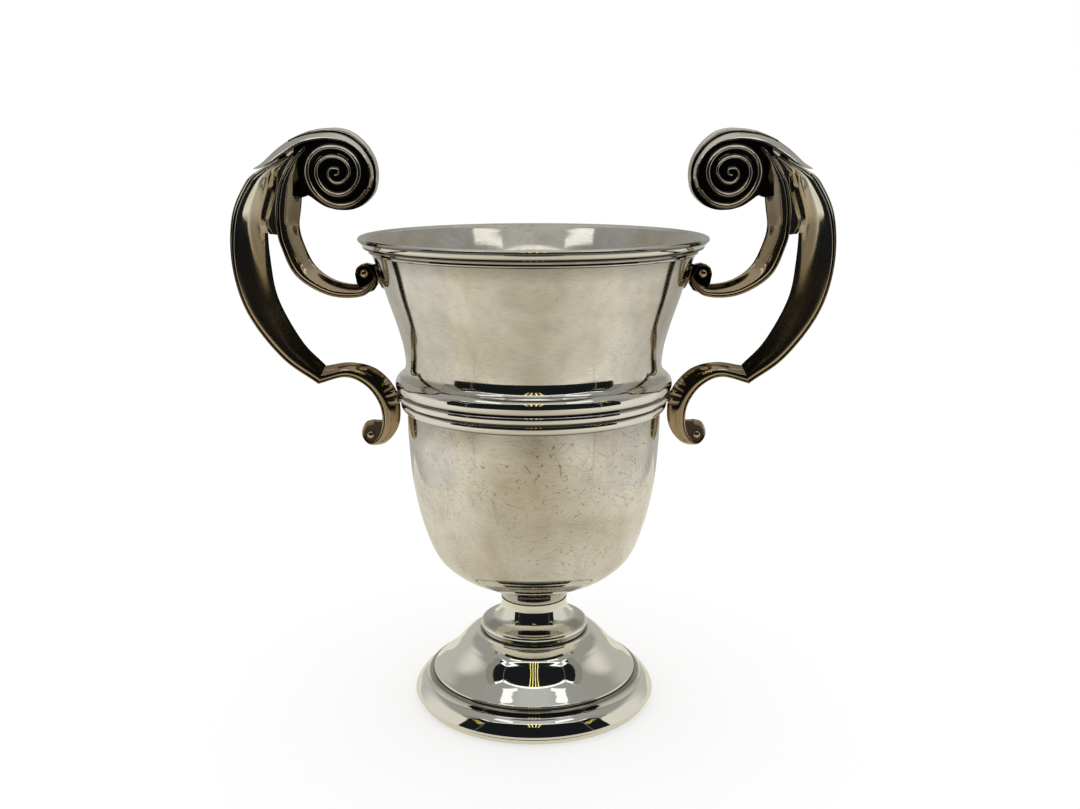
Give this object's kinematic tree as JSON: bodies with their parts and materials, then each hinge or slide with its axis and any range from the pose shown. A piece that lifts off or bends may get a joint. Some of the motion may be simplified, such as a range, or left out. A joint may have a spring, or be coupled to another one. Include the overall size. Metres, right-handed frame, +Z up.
{
  "type": "two-handled trophy cup",
  "caption": "Footed silver trophy cup: flared bowl with rim and girdle mouldings, short stem on a stepped, domed foot, and tall cast scroll handles.",
  "frame": {"origin": "centre of the foot, on the plane that the cup stands on", "axes": "+Z up along the axis that the bowl and foot are turned about; the handles lie along +X and -X, in the XZ plane"},
  "size_m": [0.158, 0.092, 0.157],
  "materials": {
    "body_silver": "satin",
    "bright_silver": "gloss",
    "handle_silver": "gloss"
  },
  "bodies": {
    "root": {"rim_moulding": "bright_silver", "bowl_upper": "body_silver", "girdle_moulding": "bright_silver", "bowl_lower": "body_silver", "stem_collar": "bright_silver", "stem_spool": "bright_silver", "foot_dome": "bright_silver", "foot_base": "bright_silver", "foot_rim_wire": "bright_silver", "left_handle_limb": "handle_silver", "left_volute_scroll": "handle_silver", "left_thumb_rib": "handle_silver", "left_c_scroll": "handle_silver", "left_c_scroll_bead": "handle_silver", "left_s_scroll": "handle_silver", "left_s_scroll_bead": "handle_silver", "left_wall_pad": "handle_silver", "right_handle_limb": "handle_silver", "right_volute_scroll": "handle_silver", "right_thumb_rib": "handle_silver", "right_c_scroll": "handle_silver", "right_c_scroll_bead": "handle_silver", "right_s_scroll": "handle_silver", "right_s_scroll_bead": "handle_silver", "right_wall_pad": "handle_silver"}
  },
  "joints": []
}
